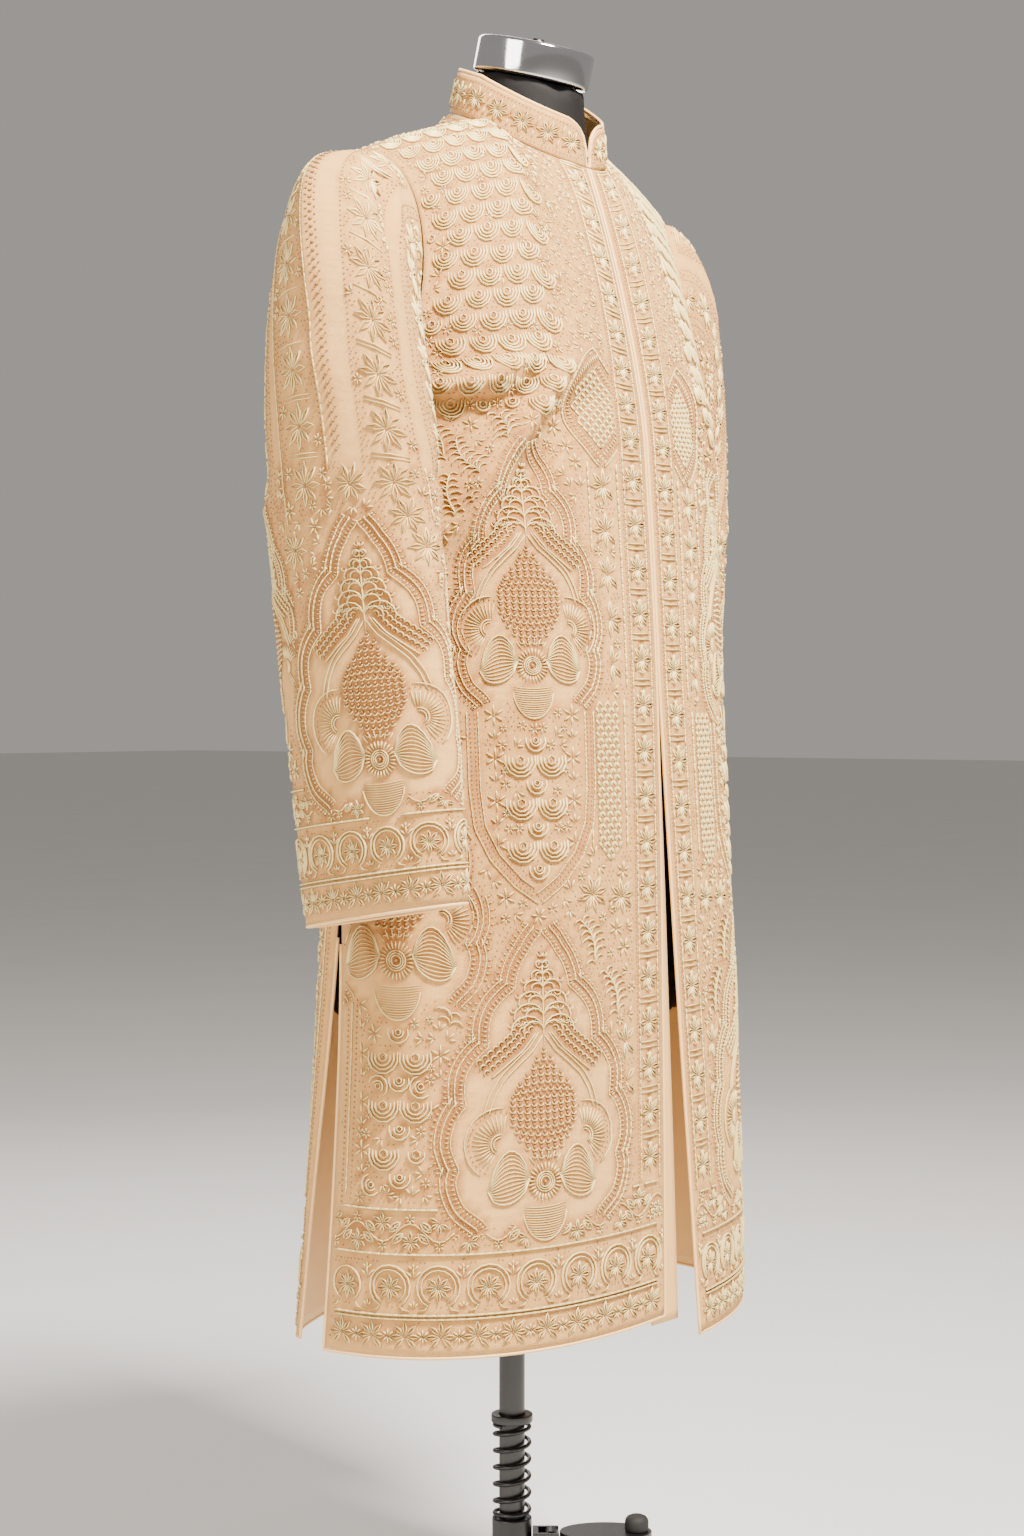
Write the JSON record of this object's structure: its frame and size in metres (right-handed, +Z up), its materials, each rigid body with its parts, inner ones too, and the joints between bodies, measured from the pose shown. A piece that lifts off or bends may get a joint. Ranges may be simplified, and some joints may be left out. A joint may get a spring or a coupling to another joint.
{
  "type": "sherwani coat on a limbless dress form and pedal stand",
  "caption": "Long embroidered sherwani coat with stand collar, straight sleeves and side slits, worn on a black limbless dress form that slides on a weighted stand with a foot pedal.",
  "frame": {"origin": "centre of the stand base's flat underside, on the floor and on the pole's axis", "axes": "+Z up along the pole; the wearer faces -Y, so the wearer's right hand side is -X"},
  "size_m": [0.574, 0.416, 1.4207],
  "materials": {
    "ivory_embroidered_silk": "ivory raw silk covered in self coloured raised embroidery",
    "ivory_piping": "smooth ivory corded piping",
    "ivory_plain_silk": "plain ivory silk",
    "black_form_cover": "matt black jersey over a padded form",
    "chrome_cap": "mirror chrome",
    "dark_finial": "dark gloss",
    "black_painted_steel": "satin black paint",
    "black_cast_iron": "black enamelled cast iron",
    "black_rubber_knob": "black rubber"
  },
  "bodies": {
    "stand": {"stand_base": "black_cast_iron", "stand_tube": "black_painted_steel", "buffer_spring": "black_painted_steel", "pedal_bracket": "black_painted_steel", "pedal_pin": "black_painted_steel"},
    "dressed_form": {"front_right": "ivory_embroidered_silk", "front_left": "ivory_embroidered_silk", "back": "ivory_embroidered_silk", "sleeve_right": "ivory_embroidered_silk", "sleeve_left": "ivory_embroidered_silk", "collar": "ivory_embroidered_silk", "underlap_strip": "ivory_plain_silk", "piping_front_right": "ivory_piping", "piping_front_left": "ivory_piping", "piping_back": "ivory_piping", "piping_collar": "ivory_piping", "piping_cuff_right": "ivory_piping", "piping_cuff_left": "ivory_piping", "form_torso": "black_form_cover", "neck_cap": "chrome_cap", "cap_finial": "dark_finial", "pole": "black_painted_steel", "pole_collar": "black_painted_steel"},
    "pedal": {"pedal_bush": "black_painted_steel", "pedal_plate": "black_painted_steel", "pedal_knob": "black_rubber_knob"}
  },
  "joints": [
    {"name": "form_height", "type": "slide", "parent": "stand", "child": "dressed_form", "axis": [0, 0, 1], "range_m": [0, 0.08]},
    {"name": "pedal_press", "type": "hinge", "parent": "stand", "child": "pedal", "pos_m": [0.02093, -0.02679, 0.143], "axis": [0.788, 0.6157, 0], "range_deg": [0, 12], "stiffness_Nm_per_rad": 3, "springref_deg": -8.59}
  ]
}
